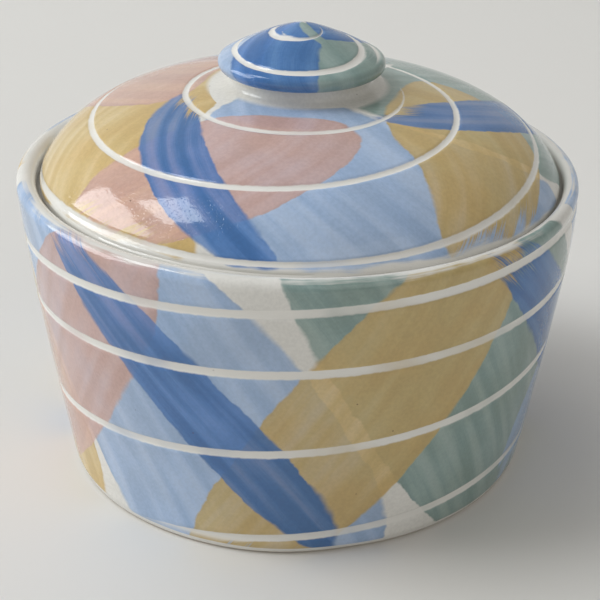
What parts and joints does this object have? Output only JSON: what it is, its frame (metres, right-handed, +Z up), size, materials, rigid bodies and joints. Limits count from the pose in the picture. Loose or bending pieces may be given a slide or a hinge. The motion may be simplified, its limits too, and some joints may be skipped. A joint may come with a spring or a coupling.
{
  "type": "butter crock",
  "caption": "Wheel-thrown lidded butter crock: tapered pot with a ledge inside its lip, an inset domed lid and a mushroom knob, clear glaze over brushed colours and a spiral line.",
  "frame": {"origin": "centre of the foot, on the plane that the crock stands on", "axes": "+Z up along the turning axis of crock, lid and knob; -Y is the side that faces the viewer"},
  "size_m": [0.135, 0.135, 0.1063],
  "materials": {
    "crock_glaze": "clear gloss glaze over brushed underglaze colours on white clay",
    "lid_glaze": "clear gloss glaze over brushed underglaze colours on white clay",
    "knob_glaze": "clear gloss glaze over brushed underglaze colours on white clay"
  },
  "bodies": {
    "crock": {"crock_body": "crock_glaze"},
    "lid_with_knob": {"lid": "lid_glaze", "lid_knob": "knob_glaze"}
  },
  "joints": [
    {"name": "lid_lift", "type": "slide", "parent": "crock", "child": "lid_with_knob", "axis": [0, 0, 1], "range_m": [0, 0.1]}
  ]
}
